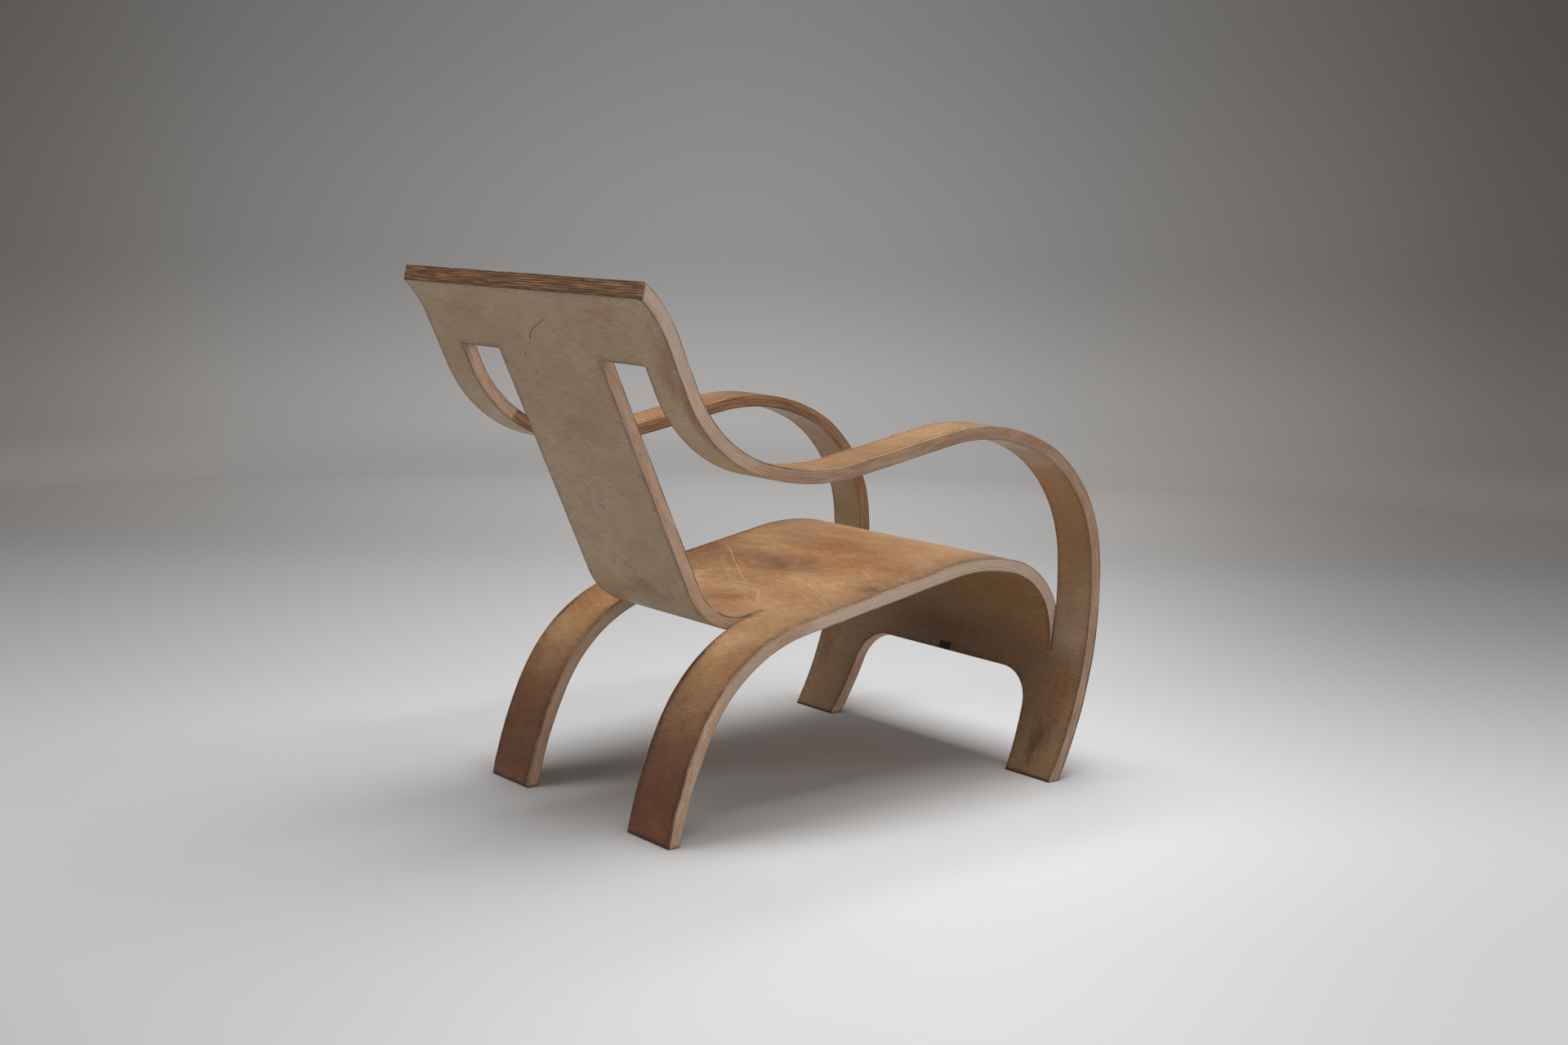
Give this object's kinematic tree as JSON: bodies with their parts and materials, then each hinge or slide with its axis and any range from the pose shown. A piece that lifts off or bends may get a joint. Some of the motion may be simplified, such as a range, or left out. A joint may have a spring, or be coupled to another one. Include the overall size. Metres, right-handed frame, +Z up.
{
  "type": "armchair",
  "caption": "Low lounge armchair cut and bent from one sheet of moulded plywood, whose strips make its back, seat, arms and legs.",
  "frame": {"origin": "on the floor, at the middle of the chair's width and of its depth", "axes": "+Z up; -Y is the way the sitter faces; +X is across the chair, and X = 0 is its plane of symmetry"},
  "size_m": [0.605, 0.8619, 0.7665],
  "materials": {
    "seat_face": "satin",
    "under_face": "satin",
    "long_grain": "matt",
    "cross_grain": "matt",
    "plate": "semi-gloss"
  },
  "bodies": {
    "root": {"veneer_01_seat_face": "seat_face", "veneer_02_long_grain": "long_grain", "veneer_03_cross_grain": "cross_grain", "veneer_04_long_grain": "long_grain", "veneer_05_cross_grain": "cross_grain", "veneer_06_long_grain": "long_grain", "veneer_07_cross_grain": "cross_grain", "veneer_08_long_grain": "long_grain", "veneer_09_cross_grain": "cross_grain", "veneer_10_long_grain": "long_grain", "veneer_11_cross_grain": "cross_grain", "veneer_12_long_grain": "long_grain", "veneer_13_under_face": "under_face", "bare_plate": "plate"}
  },
  "joints": []
}
